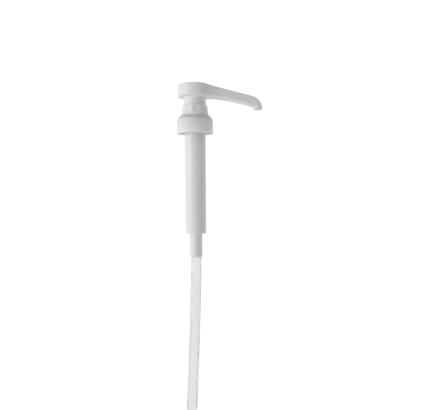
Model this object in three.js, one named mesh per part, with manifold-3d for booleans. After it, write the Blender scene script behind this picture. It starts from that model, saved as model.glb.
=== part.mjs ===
// Lock-down condiment pump for a 38-400 bottle neck: a spring-loaded barrel pump with a long spout and a dip tube.
// Millimetres, +Z up. The origin is on the pump's axis, in the plane of the bottle's rim (the gasket's underside).
// The spout points along +X, and the plunger is stored screwed down.

import * as THREE from "three";
import { mergeVertices } from "three/addons/utils/BufferGeometryUtils.js";
import Module from "manifold-3d";

const wasm = await Module();
wasm.setup();

// ---------- driving dimensions ----------

// Clearances
const pressGap = 0.15; // between pieces that are pressed or snapped together
const runGap = 0.2; // between pieces that slide or turn on each other
const threadGap = 0.25; // between the crests of the two lock threads
const restGap = 0.1; // under a piece that rests on another
const slackGap = 0.2; // end play of the closure

// Bottle closure, 38-400
const closureRadius = 21.0;
const closureTaper = 0.8; // how much narrower the skirt is at the shoulder
const closureDepth = 14.2; // how far the skirt hangs below the rim
const closureWall = 2.0;
const closureEdge = 1.0; // rounding of the skirt's lower edge
const closureShoulderDrop = 3.6; // height of the sloping shoulder
const closureShoulderInset = 3.9;
const closureShoulderBulge = 0.15;
const closureBand = 3.0; // straight band at the skirt's lower end
const neckThreadPitch = 4.23;
const neckThreadTurns = 1.5;
const neckThreadHeight = 1.1;
const neckThreadWidth = 1.9;
const neckThreadLead = 2.7; // height of the thread's lower end above the skirt's edge

// Gasket
const gasketThickness = 1.5;
const gasketInset = 0.1; // from the flange's rim

// Barrel: flange, cylinder, and the tail that holds the dip tube
const cylinderBoreRadius = 10.4;
const cylinderTopWall = 1.72;
const cylinderEndWall = 1.45;
const cylinderDepth = 128.5; // from the rim plane to the cylinder's lower end
const cylinderChamfer = 1.0;
const cylinderFloor = 2.0;
const flangeGap = 0.6; // inside the closure's thread
const flangeThickness = 2.1;
const flangeStep = 3.3; // from the neck out to the flange's rim
const barrelNeckRise = 5.3; // above the flange
const snapHeight = 0.35;
const tailWall = 1.15;
const tailLength = 27.0;
const ventRadius = 1.0;
const ventDepth = 8.0;

// Lock collar: fluted grip, flared foot, guide tube for the stem
const collarTopWall = 0.8; // the collar's walls are counted from its bore
const collarGripWall = 1.4;
const collarWaistWall = 2.05;
const collarFootWall = 3.0;
const collarHeight = 11.6;
const collarChamfer = 1.8; // height of the sloped rim above the grip
const collarFootRise = 2.4;
const collarWeb = 1.5;
const fluteCount = 10;
const fluteRadius = 14.0;
const fluteDepth = 0.8;
const fluteTurn = 23.5; // where the first flute stands, in degrees
const guideWall = 1.5;
const guideDepth = 20.0; // below the rim plane
const lockThreadPitch = 3.2;
const lockThreadTurns = 1.25;
const lockThreadHeight = 0.35;
const lockThreadWidth = 1.1;

// Actuator head: round thumb pad, tapering arm, turned-down nozzle, threaded skirt
const padRadius = 19.75;
const padUnderside = 27.3;
const padThickness = 14.4;
const armRootAngle = 48.0; // degrees round the pad, to where the arm's side leaves it
const armRootRun = 8.0; // from there along the pad's tangent, to the side curve's control point
const armReach = 72.35; // to the centre of its rounded tip, over the nozzle
const armTipRadius = 5.35;
const armTopStart = 8.8; // where the top leaves the pad and slopes down
const armTopEnd = 70.0;
const armTopDrop = 13.8;
const elbowInset = 1.0; // the elbow's control point, from the arm's end
const elbowDrop = 3.4; // and below the arm's top
const armUnderStart = 14.0; // where the underside curves down from the pad's level
const armUnderMiddle = 32.0; // the curve's control point, at the pad's level
const armUnderEnd = 66.0;
const armUnderDrop = 10.3;
const nozzleBoreRadius = 3.2;
const nozzleDrop = 13.8; // below the pad's underside
const nozzleLip = 2.4; // height of the nozzle's end below the elbow
const channelRadius = 2.2;
const channelRise = 9.2; // above the pad's underside, over the stem
const channelReach = 70.6; // to where the channel meets the nozzle's bore
const channelFall = 14.3; // from over the stem to there
const skirtInset = 1.3; // from the barrel's neck
const skirtWall = 1.8;
const skirtStep = 0.5; // height of the slope between the skirt's thread and its plain part
const skirtLift = 0.55; // above the collar's web when screwed down
const socketWall = 2.4;
const socketHollow = 2.6; // how far the skirt's hollow runs up into the pad
const stemSocketDepth = 6.4; // above the pad's underside

// Stem, piston and its retainer
const stroke = 44.0;
const stemRadius = 5.5;
const stemBoreRadius = 3.6;
const stopThickness = 2.0;
const valveHoleRadius = 2.4;
const valveChamberGap = 0.7; // round the outlet ball
const valveLand = 1.0;
const pistonLength = 16.0;
const pistonLipLength = 4.5;
const pistonLipWall = 1.0;
const pistonHubShare = 0.72; // of the room between the stem and the lips
const retainerInset = 1.0; // from the cylinder's bore
const retainerThickness = 2.0;
const retainerShank = 8.0;
const retainerBoreRadius = 2.2;
const retainerBossGap = 0.45; // inside the spring
const retainerBoss = 4.0;

// Spring, ball cage and balls
const springWireRadius = 0.65;
const springTurns = 9;
const springInset = 0.15; // from the retainer's rim
const springEndPitch = 1.45;
const inletBallRadius = 3.97;
const outletBallRadius = 3.0;
const inletHoleRadius = 3.2;
const cageFlange = 1.5;
const cageBallGap = 0.5;
const cageWall = 1.2;
const cageBarWidth = 1.6;
const cageBarHeight = 1.4;
const cageWindowWidth = 4.2;
const ballLift = 2.0;

// Dip tube
const dipRadius = 6.0;
const dipBoreRadius = 4.8;
const dipSocketLength = 22.0;
const dipLength = 216.0;
const dipBend = 25.0; // length of the bend just below the socket
const dipBendRadius = 1000.0;
const dipSweepRadius = 5000.0; // of the gentler sweep from there down
const dipCutAngle = 30.0; // degrees, of the slanting lower end

// Smoothness
const roundSides = 32;
const smallSides = 16;
const cutSides = 8;
const margin = 1.0; // how far a cutter or a blank reaches past what it cuts

// ---------- heights worked out from them ----------

const closureShoulderRadius = closureRadius - closureTaper;
const neckThreadRoot = closureRadius - closureWall;
const flangeRadius = neckThreadRoot - neckThreadHeight - flangeGap;
const barrelNeckRadius = flangeRadius - flangeStep;
const skirtRadius = barrelNeckRadius - skirtInset;
const flangeUnderside = gasketThickness + restGap;
const flangeTop = flangeUnderside + flangeThickness;
const barrelTop = flangeTop + barrelNeckRise;
const closureTop = flangeTop + slackGap + closureWall;
const closureHole = barrelNeckRadius + snapHeight + runGap;
const gasketRadius = flangeRadius - gasketInset;
const cylinderTopRadius = cylinderBoreRadius + cylinderTopWall;
const cylinderEndRadius = cylinderBoreRadius + cylinderEndWall;
const collarBottom = closureTop + slackGap;
const collarTop = collarBottom + collarHeight;
const webBottom = barrelTop + restGap;
const webTop = webBottom + collarWeb;
const skirtBottom = webTop + skirtLift;
const padTop = padUnderside + padThickness;
const stemTop = padUnderside + stemSocketDepth;
const valveSeat = stemTop - seatRise(outletBallRadius, valveHoleRadius) - outletBallRadius - ballLift - runGap;
const stopTop = -guideDepth - stroke - runGap;
const pistonTop = stopTop - stopThickness - restGap;
const pistonBottom = pistonTop - pistonLength;
const retainerTop = pistonBottom - restGap;
const retainerBottom = retainerTop - retainerThickness;
const cylinderFloorTop = -cylinderDepth + cylinderFloor;
const tailBottom = -cylinderDepth - tailLength;
const cageFlangeTop = cylinderFloorTop + restGap + cageFlange;
const dipTop = tailBottom + dipSocketLength;
const guideBore = stemRadius + runGap;
const guideRadius = guideBore + guideWall;
const skirtThreadRoot = skirtRadius - lockThreadHeight;
const collarBore = skirtRadius + threadGap + lockThreadHeight;
const collarTopRadius = collarBore + collarTopWall;
const collarGripRadius = collarBore + collarGripWall;
const collarWaistRadius = collarBore + collarWaistWall;
const collarFootRadius = collarBore + collarFootWall;
const dipSocketRadius = dipRadius + pressGap;
const retainerRadius = cylinderBoreRadius - retainerInset;
const springCoilRadius = retainerRadius - springInset - springWireRadius;
const cageBore = inletBallRadius + cageBallGap;

// Height of a ball's centre over the rim of the hole that it sits on
function seatRise(ballRadius, holeRadius) {
  return Math.sqrt(ballRadius ** 2 - holeRadius ** 2) + restGap;
}

// ---------- solids ----------

// A closed geometry as a manifold solid
function solid(geometry) {
  geometry.deleteAttribute("normal");
  geometry.deleteAttribute("uv");
  const merged = mergeVertices(geometry, 1e-5);
  return new wasm.Manifold(
    new wasm.Mesh({
      numProp: 3,
      vertProperties: new Float32Array(merged.attributes.position.array),
      triVerts: new Uint32Array(merged.index.array),
    }),
  );
}

// A manifold solid as a geometry
function geometryOf(shape) {
  const made = shape.getMesh();
  const geometry = new THREE.BufferGeometry();
  geometry.setAttribute("position", new THREE.BufferAttribute(new Float32Array(made.vertProperties), 3));
  geometry.setIndex(new THREE.BufferAttribute(new Uint32Array(made.triVerts), 1));
  geometry.computeVertexNormals();
  return geometry;
}

// A ring turned about Z from a closed outline of [radius, height] points, listed anticlockwise
function turned(outline) {
  const points = [...outline, outline[0]].map(([radius, height]) => new THREE.Vector2(radius, height));
  return solid(new THREE.LatheGeometry(points, roundSides).rotateX(Math.PI / 2));
}

// A plain upright cylinder
function rod(radius, bottom, top, sides = smallSides) {
  const geometry = new THREE.CylinderGeometry(radius, radius, top - bottom, sides);
  return solid(geometry.rotateX(Math.PI / 2).translate(0, 0, (bottom + top) / 2));
}

// A helix about Z whose cross-sections stay upright, so that a section's x is radial and its y runs down Z.
// climb(turns) gives the height after that many turns, and swell(t) scales the section along the way.
class Helix extends THREE.Curve {
  constructor(radius, turns, climb, swell = () => 1) {
    super();
    this.radius = radius;
    this.turns = turns;
    this.climb = climb;
    this.swell = swell;
  }

  getPoint(t) {
    const angle = 2 * Math.PI * this.turns * t;
    const height = this.climb(this.turns * t);
    return new THREE.Vector3(this.radius * Math.cos(angle), this.radius * Math.sin(angle), height);
  }

  getPointAt(t) {
    return this.getPoint(t);
  }

  getSpacedPoints(divisions) {
    return this.getPoints(divisions);
  }

  computeFrenetFrames(segments) {
    const frames = { tangents: [], normals: [], binormals: [] };
    for (let i = 0; i <= segments; i += 1) {
      const t = i / segments;
      const angle = 2 * Math.PI * this.turns * t;
      frames.tangents.push(new THREE.Vector3(-Math.sin(angle), Math.cos(angle), 0));
      frames.normals.push(new THREE.Vector3(Math.cos(angle), Math.sin(angle), 0).multiplyScalar(this.swell(t)));
      frames.binormals.push(new THREE.Vector3(0, 0, -1));
    }
    return frames;
  }
}

// A thread ridge that fades in and out at its ends. height is negative on an inside thread.
// Its foot is sunk a little into the wall that it stands on.
function threadRidge(wallRadius, height, width, pitch, turns, bottom) {
  const sunk = -Math.sign(height) * 0.3;
  const section = new THREE.Shape([
    new THREE.Vector2(sunk, -width / 2),
    new THREE.Vector2(height, -width / 5),
    new THREE.Vector2(height, width / 5),
    new THREE.Vector2(sunk, width / 2),
  ]);
  const swell = (t) => THREE.MathUtils.clamp(Math.min(t, 1 - t) * turns * 6, 0.15, 1);
  const path = new Helix(wallRadius, turns, (turn) => bottom + pitch * turn, swell);
  const steps = Math.round(turns * roundSides);
  return solid(new THREE.ExtrudeGeometry(section, { steps, extrudePath: path, bevelEnabled: false }));
}

// An outline in a plane, extruded along +Z from bottom to top
function slab(shape, bottom, top, curveSegments = smallSides) {
  const geometry = new THREE.ExtrudeGeometry(shape, { depth: top - bottom, bevelEnabled: false, curveSegments });
  return solid(geometry.translate(0, 0, bottom));
}

// Copies of a cutter spread evenly about Z, as one solid
function around(cutter, count, firstAngle = 0) {
  const copies = [];
  for (let i = 0; i < count; i += 1) {
    copies.push(cutter.rotate([0, 0, firstAngle + (360 / count) * i]));
  }
  return wasm.Manifold.union(copies);
}

// ---------- looks ----------

const whitePlastic = { color: 0xf2f2f0, roughness: 0.42, metalness: 0 };
const milkyPlastic = { color: 0xf4f4f1, roughness: 0.35, metalness: 0 };
const whiteFoam = { color: 0xf3f3ee, roughness: 0.9, metalness: 0 };
const stainless = { color: 0xb9bcc0, roughness: 0.25, metalness: 1 };

const pump = new THREE.Group();

function addPiece(name, shape, look) {
  const mesh = new THREE.Mesh(geometryOf(shape), new THREE.MeshStandardMaterial(look));
  mesh.name = name;
  pump.add(mesh);
}

// ---------- closure ----------

function makeClosure() {
  const shoulderBottom = closureTop - closureShoulderDrop;
  const body = turned([
    [neckThreadRoot, -closureDepth],
    [closureRadius - closureEdge, -closureDepth],
    [closureRadius, -closureDepth + closureEdge],
    [closureRadius, -closureDepth + closureBand],
    [closureShoulderRadius, shoulderBottom],
    [
      closureShoulderRadius - closureShoulderInset / 2 + closureShoulderBulge,
      closureTop - closureShoulderDrop / 2 + closureShoulderBulge,
    ],
    [closureShoulderRadius - closureShoulderInset, closureTop],
    [closureHole, closureTop],
    [closureHole, closureTop - closureWall],
    [neckThreadRoot, closureTop - closureWall],
  ]);
  const threadBottom = -closureDepth + neckThreadLead;
  const thread = threadRidge(
    neckThreadRoot, -neckThreadHeight, neckThreadWidth, neckThreadPitch, neckThreadTurns, threadBottom,
  );
  return body.add(thread);
}

// ---------- gasket ----------

function makeGasket() {
  return turned([
    [cylinderTopRadius + runGap, 0],
    [gasketRadius, 0],
    [gasketRadius, gasketThickness],
    [cylinderTopRadius + runGap, gasketThickness],
  ]);
}

// ---------- barrel ----------

function makeBarrel() {
  const snapMid = (collarBottom + barrelTop) / 2;
  const socketTop = dipTop + restGap;
  const body = turned([
    [dipSocketRadius, tailBottom],
    [dipSocketRadius + tailWall, tailBottom],
    [dipSocketRadius + tailWall, -cylinderDepth],
    [cylinderEndRadius - cylinderChamfer, -cylinderDepth],
    [cylinderEndRadius, -cylinderDepth + cylinderChamfer],
    [cylinderTopRadius, flangeUnderside],
    [flangeRadius, flangeUnderside],
    [flangeRadius, flangeTop],
    [barrelNeckRadius, flangeTop],
    [barrelNeckRadius, snapMid - snapHeight],
    [barrelNeckRadius + snapHeight, snapMid],
    [barrelNeckRadius, snapMid + snapHeight],
    [barrelNeckRadius, barrelTop],
    [cylinderBoreRadius, barrelTop],
    [cylinderBoreRadius, cylinderFloorTop],
    [inletHoleRadius, cylinderFloorTop],
    [inletHoleRadius, socketTop],
    [dipSocketRadius, socketTop],
  ]);
  const wall = cylinderTopRadius + margin;
  const vent = new THREE.CylinderGeometry(ventRadius, ventRadius, wall, cutSides)
    .translate(0, wall / 2, -ventDepth);
  return body.subtract(solid(vent));
}

// ---------- lock collar ----------

function makeLockCollar() {
  const snapMid = (collarBottom + barrelTop) / 2;
  const footBore = barrelNeckRadius + pressGap;
  const footTop = collarBottom + collarFootRise;
  const body = turned([
    [footBore, collarBottom],
    [collarFootRadius, collarBottom],
    [collarWaistRadius, footTop],
    [collarGripRadius, collarTop - collarChamfer],
    [collarTopRadius, collarTop],
    [collarBore, collarTop],
    [collarBore, webTop],
    [guideBore, webTop],
    [guideBore, -guideDepth],
    [guideRadius, -guideDepth],
    [guideRadius, webBottom],
    [footBore, webBottom],
    [footBore, snapMid + snapHeight],
    [footBore + snapHeight, snapMid],
    [footBore, snapMid - snapHeight],
  ]);
  const gripHeight = collarTop - footTop;
  const lean = Math.atan2(collarWaistRadius - collarGripRadius, gripHeight - collarChamfer);
  const flute = new THREE.CylinderGeometry(fluteRadius, fluteRadius, gripHeight, cutSides)
    .rotateX(Math.PI / 2)
    .translate(fluteRadius - fluteDepth, 0, 0)
    .rotateY(-lean)
    .translate((collarWaistRadius + collarGripRadius) / 2, 0, (footTop + collarTop) / 2);
  const threadBottom = collarTop - lockThreadPitch * lockThreadTurns - lockThreadWidth;
  const thread = threadRidge(
    collarBore, -lockThreadHeight, lockThreadWidth, lockThreadPitch, lockThreadTurns, threadBottom,
  );
  return body.subtract(around(solid(flute), fluteCount, fluteTurn)).add(thread);
}

// ---------- actuator head ----------

// The pad and arm from above: two circles, and hollow sides that touch both
function padPlan() {
  const root = THREE.MathUtils.degToRad(armRootAngle);
  const rootX = padRadius * Math.cos(root);
  const rootY = padRadius * Math.sin(root);
  const middleX = rootX + armRootRun * Math.sin(root);
  const middleY = rootY - armRootRun * Math.cos(root);
  const taper = Math.atan2(middleY - armTipRadius, armReach - middleX);
  const tip = Math.PI / 2 - taper;
  const tipX = armReach + armTipRadius * Math.cos(tip);
  const tipY = armTipRadius * Math.sin(tip);
  const plan = new THREE.Shape();
  plan.absarc(0, 0, padRadius, root, 2 * Math.PI - root, false);
  plan.quadraticCurveTo(middleX, -middleY, tipX, -tipY);
  plan.absarc(armReach, 0, armTipRadius, -tip, tip, false);
  plan.quadraticCurveTo(middleX, middleY, rootX, rootY);
  return plan;
}

// The pad and arm from the side, as x and height
function padSide() {
  const back = -padRadius - margin;
  const tip = armReach + armTipRadius;
  const elbowTop = padTop - armTopDrop;
  const elbowEnd = padUnderside - nozzleDrop + nozzleLip;
  const side = new THREE.Shape();
  side.moveTo(back, padUnderside);
  side.lineTo(armUnderStart, padUnderside);
  side.quadraticCurveTo(armUnderMiddle, padUnderside, armUnderEnd, padUnderside - armUnderDrop);
  side.lineTo(armReach, padUnderside - armUnderDrop - margin);
  side.lineTo(tip, elbowEnd);
  side.quadraticCurveTo(tip - elbowInset, elbowTop - elbowDrop, armTopEnd, elbowTop);
  side.lineTo(armTopStart, padTop);
  side.lineTo(back, padTop);
  side.closePath();
  return side;
}

function makeActuatorHead() {
  const depth = 2 * (padRadius + margin);
  const sideGeometry = new THREE.ExtrudeGeometry(padSide(), {
    depth, bevelEnabled: false, curveSegments: cutSides,
  })
    .rotateX(Math.PI / 2)
    .translate(0, depth / 2, 0);
  const nozzleBottom = padUnderside - nozzleDrop;
  const arm = slab(padPlan(), nozzleBottom, padTop + margin).intersect(solid(sideGeometry));
  const nozzleTop = padUnderside - armUnderDrop + margin;
  const nozzle = rod(armTipRadius, nozzleBottom, nozzleTop).translate([armReach, 0, 0]);
  const skirt = turned([
    [skirtRadius - skirtWall, skirtBottom],
    [skirtThreadRoot, skirtBottom],
    [skirtThreadRoot, collarTop - skirtStep],
    [skirtRadius, collarTop],
    [skirtRadius, padUnderside + margin],
    [skirtRadius - skirtWall, padUnderside + margin],
  ]);
  const thread = threadRidge(
    skirtThreadRoot, lockThreadHeight, lockThreadWidth, lockThreadPitch, lockThreadTurns,
    skirtBottom + lockThreadWidth / 2,
  );
  const socketRadius = stemRadius + pressGap + socketWall;
  const socket = rod(socketRadius, skirtBottom, padUnderside + socketHollow + margin, roundSides);
  const hollow = rod(skirtRadius - skirtWall, padUnderside - margin, padUnderside + socketHollow, roundSides);
  const stemHole = rod(stemRadius + pressGap, skirtBottom - margin, stemTop + restGap, roundSides);

  const channelTop = padUnderside + channelRise;
  const riser = rod(channelRadius, stemTop - margin, channelTop + channelRadius / 2, cutSides);
  const channelLength = Math.hypot(channelReach, channelFall);
  const channel = new THREE.CylinderGeometry(channelRadius, channelRadius, channelLength, cutSides)
    .rotateZ(Math.PI / 2)
    .rotateY(Math.atan2(channelFall, channelReach))
    .translate(channelReach / 2, 0, channelTop - channelFall / 2);
  const nozzleBore = rod(nozzleBoreRadius, nozzleBottom - margin, channelTop - channelFall - margin);
  return arm
    .subtract(hollow)
    .add(nozzle)
    .add(skirt)
    .add(thread)
    .add(socket)
    .subtract(stemHole)
    .subtract(riser)
    .subtract(solid(channel))
    .subtract(nozzleBore.translate([armReach, 0, 0]));
}

// ---------- stem ----------

function makeStem() {
  const stopBottom = stopTop - stopThickness;
  const stemBottom = pistonBottom;
  const valveBottom = valveSeat - valveLand;
  const chamber = outletBallRadius + valveChamberGap;
  return turned([
    [stemBoreRadius, stemBottom],
    [stemRadius, stemBottom],
    [stemRadius, stopBottom],
    [guideRadius, stopBottom],
    [guideRadius, stopTop],
    [stemRadius, stopTop],
    [stemRadius, stemTop],
    [chamber, stemTop],
    [chamber, valveSeat],
    [valveHoleRadius, valveSeat],
    [valveHoleRadius, valveBottom],
    [stemBoreRadius, valveBottom - valveLand],
  ]);
}

// ---------- piston: a hub with a wiping lip above and below ----------

function makePiston() {
  const bore = stemRadius + pressGap;
  const lip = cylinderBoreRadius - runGap;
  const waist = lip - pistonLipWall;
  const hub = bore + (waist - bore) * pistonHubShare;
  return turned([
    [bore, pistonBottom],
    [hub, pistonBottom],
    [hub, pistonBottom + pistonLipLength],
    [waist, pistonBottom],
    [lip, pistonBottom],
    [waist, pistonBottom + pistonLipLength + pistonLipWall],
    [waist, pistonTop - pistonLipLength - pistonLipWall],
    [lip, pistonTop],
    [waist, pistonTop],
    [hub, pistonTop - pistonLipLength],
    [hub, pistonTop],
    [bore, pistonTop],
  ]);
}

// ---------- piston retainer, pressed into the stem ----------

function makePistonRetainer() {
  const bossRadius = springCoilRadius - springWireRadius - retainerBossGap;
  return turned([
    [retainerBoreRadius, retainerBottom - retainerBoss],
    [bossRadius, retainerBottom - retainerBoss],
    [bossRadius, retainerBottom],
    [retainerRadius, retainerBottom],
    [retainerRadius, retainerTop],
    [stemBoreRadius - pressGap, retainerTop],
    [stemBoreRadius - pressGap, retainerTop + retainerShank],
    [retainerBoreRadius, retainerTop + retainerShank],
  ]);
}

// ---------- spring, with a closed turn at each end ----------

function makeSpring() {
  const bottom = cageFlangeTop + restGap + springWireRadius;
  const top = retainerBottom - restGap - springWireRadius;
  const openTurns = springTurns - 2;
  const openPitch = (top - bottom - 2 * springEndPitch) / openTurns;
  const climb = (turn) => {
    const open = THREE.MathUtils.clamp(turn - 1, 0, openTurns);
    return bottom + springEndPitch * (turn - open) + openPitch * open;
  };
  const wire = new THREE.Shape();
  wire.absarc(0, 0, springWireRadius, 0, 2 * Math.PI, false);
  const path = new Helix(springCoilRadius, springTurns, climb);
  const steps = springTurns * 12;
  return solid(
    new THREE.ExtrudeGeometry(wire, { steps, extrudePath: path, bevelEnabled: false, curveSegments: 3 }),
  );
}

// ---------- ball cage: a basket over the inlet ball, which also seats the spring ----------

function makeBallCage() {
  const bottom = cylinderFloorTop + restGap;
  const ballTop = cylinderFloorTop + seatRise(inletBallRadius, inletHoleRadius) + inletBallRadius;
  const ceiling = ballTop + ballLift + runGap;
  const basket = cageBore + cageWall;
  const body = turned([
    [cageBore, bottom],
    [cylinderBoreRadius - pressGap, bottom],
    [cylinderBoreRadius - pressGap, cageFlangeTop],
    [basket, cageFlangeTop],
    [basket, ceiling + cageBarHeight],
    [cageBore, ceiling + cageBarHeight],
  ]);
  const windowHeight = ceiling - cageFlangeTop - cageWall;
  const window = new THREE.BoxGeometry(2 * basket, cageWindowWidth, windowHeight)
    .translate(basket, 0, (cageFlangeTop + ceiling) / 2);
  const bar = new THREE.BoxGeometry(2 * cageBore + cageWall, cageBarWidth, cageBarHeight)
    .translate(0, 0, ceiling + cageBarHeight / 2);
  return body
    .subtract(around(solid(window), 4, 45))
    .add(around(solid(bar), 2));
}

// ---------- check balls ----------

function makeBall(ballRadius, seatHeight, holeRadius) {
  const ball = new THREE.SphereGeometry(ballRadius, smallSides, cutSides).rotateX(Math.PI / 2);
  return solid(ball.translate(0, 0, seatHeight + seatRise(ballRadius, holeRadius)));
}

// ---------- dip tube ----------

// Straight in its socket, then a short bend away from the spout and a long gentle sweep
class DipLine extends THREE.Curve {
  getPoint(t) {
    const run = dipLength * t;
    const inSocket = Math.min(run, dipSocketLength);
    const bendTurn = Math.min(Math.max(run - dipSocketLength, 0), dipBend) / dipBendRadius;
    const sweepTurn = bendTurn + Math.max(run - dipSocketLength - dipBend, 0) / dipSweepRadius;
    const sideways = dipBendRadius * (1 - Math.cos(bendTurn))
      + dipSweepRadius * (Math.cos(bendTurn) - Math.cos(sweepTurn));
    const down = dipBendRadius * Math.sin(bendTurn)
      + dipSweepRadius * (Math.sin(sweepTurn) - Math.sin(bendTurn));
    return new THREE.Vector3(-sideways, 0, dipTop - inSocket - down);
  }
}

function makeDipTube() {
  const section = new THREE.Shape();
  section.absarc(0, 0, dipRadius, 0, 2 * Math.PI, false);
  const bore = new THREE.Path();
  bore.absarc(0, 0, dipBoreRadius, 0, 2 * Math.PI, true);
  section.holes.push(bore);
  const path = new DipLine();
  const tube = solid(
    new THREE.ExtrudeGeometry(section, { steps: 12, extrudePath: path, bevelEnabled: false, curveSegments: cutSides }),
  );
  const tip = path.getPoint(1);
  const block = 6 * dipRadius;
  const slant = THREE.MathUtils.degToRad(dipCutAngle);
  const rise = dipRadius * Math.tan(slant);
  const cutter = new THREE.BoxGeometry(block, block, block)
    .translate(0, 0, -block / 2)
    .rotateY(-slant)
    .translate(tip.x, 0, tip.z + rise);
  return tube.subtract(solid(cutter));
}

// ---------- the assembly ----------

addPiece("actuator_head", makeActuatorHead(), whitePlastic);
addPiece("stem", makeStem(), whitePlastic);
addPiece("outlet_ball", makeBall(outletBallRadius, valveSeat, valveHoleRadius), stainless);
addPiece("piston", makePiston(), milkyPlastic);
addPiece("piston_retainer", makePistonRetainer(), whitePlastic);
addPiece("spring", makeSpring(), stainless);
addPiece("lock_collar", makeLockCollar(), whitePlastic);
addPiece("closure", makeClosure(), whitePlastic);
addPiece("gasket", makeGasket(), whiteFoam);
addPiece("barrel", makeBarrel(), whitePlastic);
addPiece("ball_cage", makeBallCage(), whitePlastic);
addPiece("inlet_ball", makeBall(inletBallRadius, cylinderFloorTop, inletHoleRadius), stainless);
addPiece("dip_tube", makeDipTube(), milkyPlastic);

export default pump;
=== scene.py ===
import math

import bmesh
import bpy
from mathutils import Matrix, Vector


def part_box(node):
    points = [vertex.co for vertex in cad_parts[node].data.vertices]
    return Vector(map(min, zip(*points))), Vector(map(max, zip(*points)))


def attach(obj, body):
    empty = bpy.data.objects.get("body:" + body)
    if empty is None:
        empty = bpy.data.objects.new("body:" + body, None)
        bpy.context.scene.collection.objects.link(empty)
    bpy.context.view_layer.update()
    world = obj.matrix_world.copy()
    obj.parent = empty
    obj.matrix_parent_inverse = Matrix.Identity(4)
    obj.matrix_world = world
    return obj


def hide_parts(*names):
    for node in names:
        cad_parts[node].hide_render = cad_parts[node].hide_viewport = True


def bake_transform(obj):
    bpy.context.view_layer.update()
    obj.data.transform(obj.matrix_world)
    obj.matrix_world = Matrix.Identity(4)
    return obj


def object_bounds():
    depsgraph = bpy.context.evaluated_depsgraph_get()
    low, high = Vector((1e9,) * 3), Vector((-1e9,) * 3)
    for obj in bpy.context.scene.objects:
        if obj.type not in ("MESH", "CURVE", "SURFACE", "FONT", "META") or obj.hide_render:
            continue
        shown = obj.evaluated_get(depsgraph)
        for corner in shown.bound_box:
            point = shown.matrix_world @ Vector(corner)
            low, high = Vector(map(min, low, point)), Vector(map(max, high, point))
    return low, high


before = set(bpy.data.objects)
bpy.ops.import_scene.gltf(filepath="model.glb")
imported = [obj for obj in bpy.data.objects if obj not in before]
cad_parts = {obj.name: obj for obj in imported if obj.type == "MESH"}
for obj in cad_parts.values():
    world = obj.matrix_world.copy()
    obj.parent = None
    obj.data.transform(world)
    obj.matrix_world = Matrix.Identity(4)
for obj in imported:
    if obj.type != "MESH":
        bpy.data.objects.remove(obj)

# A lock-down condiment pump for a 38-400 bottle neck, made of 13 moulded, drawn and ground pieces.
# Pieces are modelled in millimetres on the pump's axis and brought to metres when they are finished.

cad_low, cad_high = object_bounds()
scene = bpy.context.scene


# ---------- Camera ----------
# A lens of about 38 mm close to the pump, at the height of the barrel's upper half, so that it looks up
# at the spout and down at the dip tube. It leans a little, and the dip tube runs out below the frame.

camera_data = bpy.data.cameras.new("camera")
camera_data.sensor_width = 36.0
camera_data.lens = 37.94
camera = bpy.data.objects.new("camera", camera_data)
scene.collection.objects.link(camera)
look_right = math.radians(3.32)
look_down = math.radians(2.07)
lean = math.radians(0.4)
camera_turn = (
    Matrix.Rotation(-look_right, 4, "Z")
    @ Matrix.Rotation(math.radians(90.0) - look_down, 4, "X")
    @ Matrix.Rotation(-lean, 4, "Z")
)
camera.matrix_world = Matrix.Translation((0.0, -0.543, -0.0765)) @ camera_turn
scene.camera = camera


# ---------- Studio ----------
# A white sweep with one large softbox at the left. The sweep and the wall behind are bright enough to burn
# out and light the pump's undersides and rims. The room in front is dim, and the ceiling is in between.

def linear(colour):
    """An sRGB hex colour as linear red, green and blue."""
    channels = [int(colour[i:i + 2], 16) / 255 for i in (0, 2, 4)]
    return tuple(c / 12.92 if c <= 0.04045 else ((c + 0.055) / 1.055) ** 2.4 for c in channels)


def add_node(tree, kind, settings=None, inputs=None):
    """Adds a node. Each input, named by its identifier, gets a value or the output that feeds it."""
    node = tree.nodes.new(kind)
    for setting, value in (settings or {}).items():
        setattr(node, setting, value)
    sockets = {socket.identifier: socket for socket in node.inputs}
    for identifier, value in (inputs or {}).items():
        if isinstance(value, bpy.types.NodeSocket):
            tree.links.new(value, sockets[identifier])
        else:
            sockets[identifier].default_value = value
    return node


scene.view_settings.view_transform = "Standard"
room_light = 0.06
ceiling_light = 0.60
wall_light = 1.05
floor_light = 0.70
through_light = 0.88
backdrop_white = 1.05

world = bpy.data.worlds.new("white_studio")
scene.world = world
world.use_nodes = True
tree = world.node_tree
tree.nodes.clear()
seen = add_node(tree, "ShaderNodeLightPath")
direction = add_node(tree, "ShaderNodeSeparateXYZ", {}, {
    "Vector": add_node(tree, "ShaderNodeTexCoord").outputs["Generated"],
})
# The bright wall stands behind the pump and ends not far above it
behind = add_node(tree, "ShaderNodeMapRange", {"interpolation_type": "SMOOTHSTEP"}, {
    "Value": direction.outputs["Y"],
    "From Min": -0.1, "From Max": 0.5, "To Min": room_light, "To Max": wall_light,
})
glow = add_node(tree, "ShaderNodeMapRange", {"interpolation_type": "SMOOTHSTEP"}, {
    "Value": direction.outputs["Z"],
    "From Min": 0.15, "From Max": 0.7, "To Min": behind.outputs[0], "To Max": ceiling_light,
})
# What shows through the milky dip tube is the same white all round
level = add_node(tree, "ShaderNodeMix", {"data_type": "FLOAT"}, {
    "Factor_Float": seen.outputs["Is Transmission Ray"],
    "A_Float": glow.outputs[0],
    "B_Float": through_light,
})
dim = add_node(tree, "ShaderNodeBackground", {}, {"Color": (1, 1, 1, 1), "Strength": level.outputs[0]})
bright = add_node(tree, "ShaderNodeBackground", {}, {"Color": (1, 1, 1, 1), "Strength": backdrop_white})
either = add_node(tree, "ShaderNodeMixShader", {}, {
    "Fac": seen.outputs["Is Camera Ray"],
    "Shader": dim.outputs[0],
    "Shader_001": bright.outputs[0],
})
add_node(tree, "ShaderNodeOutputWorld", {}, {"Surface": either.outputs[0]})


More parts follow.
